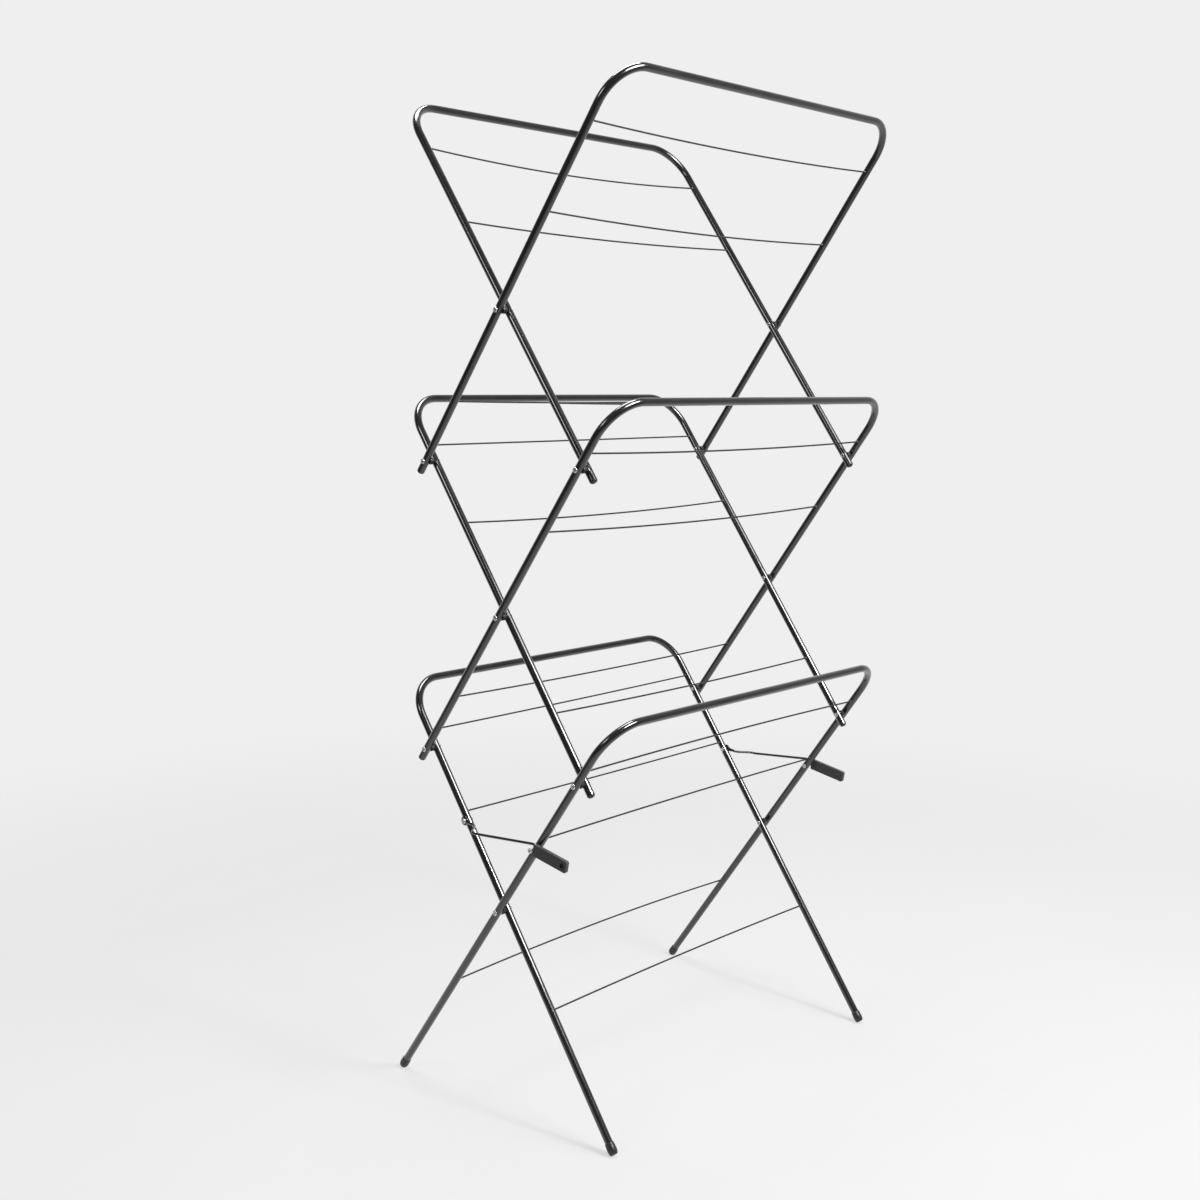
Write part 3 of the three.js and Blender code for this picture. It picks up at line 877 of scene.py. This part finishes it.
# ---------------------------------------------------------------------------------------------
# Studio
# A pale paper floor that runs out softly into a pale backdrop. Broad soft lights stand in front of
# and above the airer, a weak one at its left; the camera's side is dim, and the far side is pale.
# ---------------------------------------------------------------------------------------------
FLOOR_SIZE = 10.0
BACKDROP = "#efefef"

floor_paper = new_material("matt_white_paper")
paper_place = add_node(floor_paper, "ShaderNodeTexCoord")
paper_tooth = add_node(
    floor_paper,
    "ShaderNodeTexNoise",
    {"Scale": 1 / (300 * MM), "Detail": 2.0},
    {"Vector": (paper_place, "Object")},
)
paper_tint = add_node(floor_paper, "ShaderNodeValToRGB", (), {"Fac": (paper_tooth, "Fac")})
paper_tint.color_ramp.elements[0].color = colour("#686868")
paper_tint.color_ramp.elements[1].color = colour("#6c6c6c")
from_middle = add_node(
    floor_paper,
    "ShaderNodeVectorMath",
    {"operation": "LENGTH"},
    {"Vector": (paper_place, "Object")},
)
run_out = add_node(
    floor_paper,
    "ShaderNodeMapRange",
    {
        "interpolation_type": "SMOOTHSTEP",
        "From Min": 0.6,
        "From Max": 2.4,
        "To Min": 1,
        "To Max": 0,
    },
    {"Value": (from_middle, "Value")},
)
paper_surface = add_node(
    floor_paper,
    "ShaderNodeBsdfPrincipled",
    {
        "Roughness": 1.0,
        "Specular IOR Level": 0.0,
        "Emission Color": colour("#ffffff"),
        "Emission Strength": 0.6,
    },
    {"Base Color": (paper_tint, "Color"), "Alpha": (run_out, "Result")},
)
add_node(floor_paper, "ShaderNodeOutputMaterial", (), {"Surface": (paper_surface, "BSDF")})

bpy.ops.object.select_all(action="DESELECT")
bpy.ops.mesh.primitive_plane_add(size=FLOOR_SIZE, location=(0, 0, 0))
floor = begin("floor")
bpy.ops.object.mode_set(mode="OBJECT")
floor.data.materials.append(floor_paper)

# The camera sees an even backdrop; the airer is lit by, and mirrors, the room.
room = bpy.data.worlds.new("studio_room")
bpy.context.scene.world = room
room.use_nodes = True
room.node_tree.nodes.clear()
towards = add_node(room, "ShaderNodeTexCoord")
far_side = add_node(
    room,
    "ShaderNodeVectorMath",
    {"operation": "DOT_PRODUCT"},
    {"Vector": (towards, "Generated")},
)
far_side.inputs[1].default_value = (0.8, 0.6, -0.35)
room_shade = add_node(
    room,
    "ShaderNodeMapRange",
    {
        "interpolation_type": "SMOOTHSTEP",
        "From Min": -0.1,
        "From Max": 0.8,
        "To Min": 0.09,
        "To Max": 0.7,
    },
    {"Value": (far_side, "Value")},
)
room_light = add_node(room, "ShaderNodeBackground", (), {"Color": (room_shade, "Result")})
backdrop = add_node(room, "ShaderNodeBackground", {"Color": colour(BACKDROP)})
ray = add_node(room, "ShaderNodeLightPath")
seen = add_node(room, "ShaderNodeMixShader", (), {"Fac": (ray, "Is Camera Ray")})
room.node_tree.links.new(room_light.outputs["Background"], seen.inputs[1])
room.node_tree.links.new(backdrop.outputs["Background"], seen.inputs[2])
add_node(room, "ShaderNodeOutputWorld", (), {"Surface": (seen, "Shader")})

AIRER_MIDDLE = Vector((0, 0, 0.7))
LIGHT_DISTANCE = 2.7  # the key light stands in the middle of the front light
# Each light's name, its direction from the airer's middle, its width, its length and its power.
SOFT_LIGHTS = (
    ("key_light", (0.07, -0.772, 0.636), 0.35, 0.35, 60),
    ("front_light", (0.07, -0.772, 0.636), 1.7, 0.9, 86),
    ("front_light_top", (0.07, -0.616, 0.788), 1.7, 0.28, 11),
    ("overhead_light", (0.07, 0.22, 0.975), 1.7, 0.85, 75),
    ("side_light", (-0.86, 0.1, 0.5), 0.7, 0.7, 13),
)
for name, direction, width, length, power in SOFT_LIGHTS:
    lamp = bpy.data.lights.new(name, "AREA")
    lamp.shape = "RECTANGLE"
    lamp.size = width
    lamp.size_y = length
    lamp.energy = power
    holder = bpy.data.objects.new(name, lamp)
    bpy.context.scene.collection.objects.link(holder)
    away = Vector(direction).normalized()
    holder.location = AIRER_MIDDLE + away * LIGHT_DISTANCE
    holder.rotation_euler = (-away).to_track_quat("-Z", "Y").to_euler()
    holder.visible_camera = False
bpy.context.scene.view_settings.view_transform = "Standard"

# The camera stands at the front left corner, turned a little up the airer.
CAMERA_PLACE = Vector((-1.7244, -1.4531, 1.006))
CAMERA_AZIMUTH = math.radians(-46.55)
CAMERA_ELEVATION = math.radians(6.33)
CAMERA_ROLL = math.radians(0.31)
CAMERA_LENS = 45.8
CAMERA_SHIFT = (0.0327, -0.0393)

camera_data = bpy.data.cameras.new("camera")
camera_data.lens = CAMERA_LENS
camera_data.sensor_width = 36
camera_data.shift_x, camera_data.shift_y = CAMERA_SHIFT
camera_data.clip_start = 0.05
camera = bpy.data.objects.new("camera", camera_data)
bpy.context.scene.collection.objects.link(camera)
back = Vector(
    (
        math.sin(CAMERA_AZIMUTH) * math.cos(CAMERA_ELEVATION),
        -math.cos(CAMERA_AZIMUTH) * math.cos(CAMERA_ELEVATION),
        math.sin(CAMERA_ELEVATION),
    )
)
looking = (-back).to_track_quat("-Z", "Y").to_matrix().to_4x4()
camera.matrix_world = (
    Matrix.Translation(CAMERA_PLACE) @ looking @ Matrix.Rotation(CAMERA_ROLL, 4, "Z")
)
bpy.context.scene.camera = camera
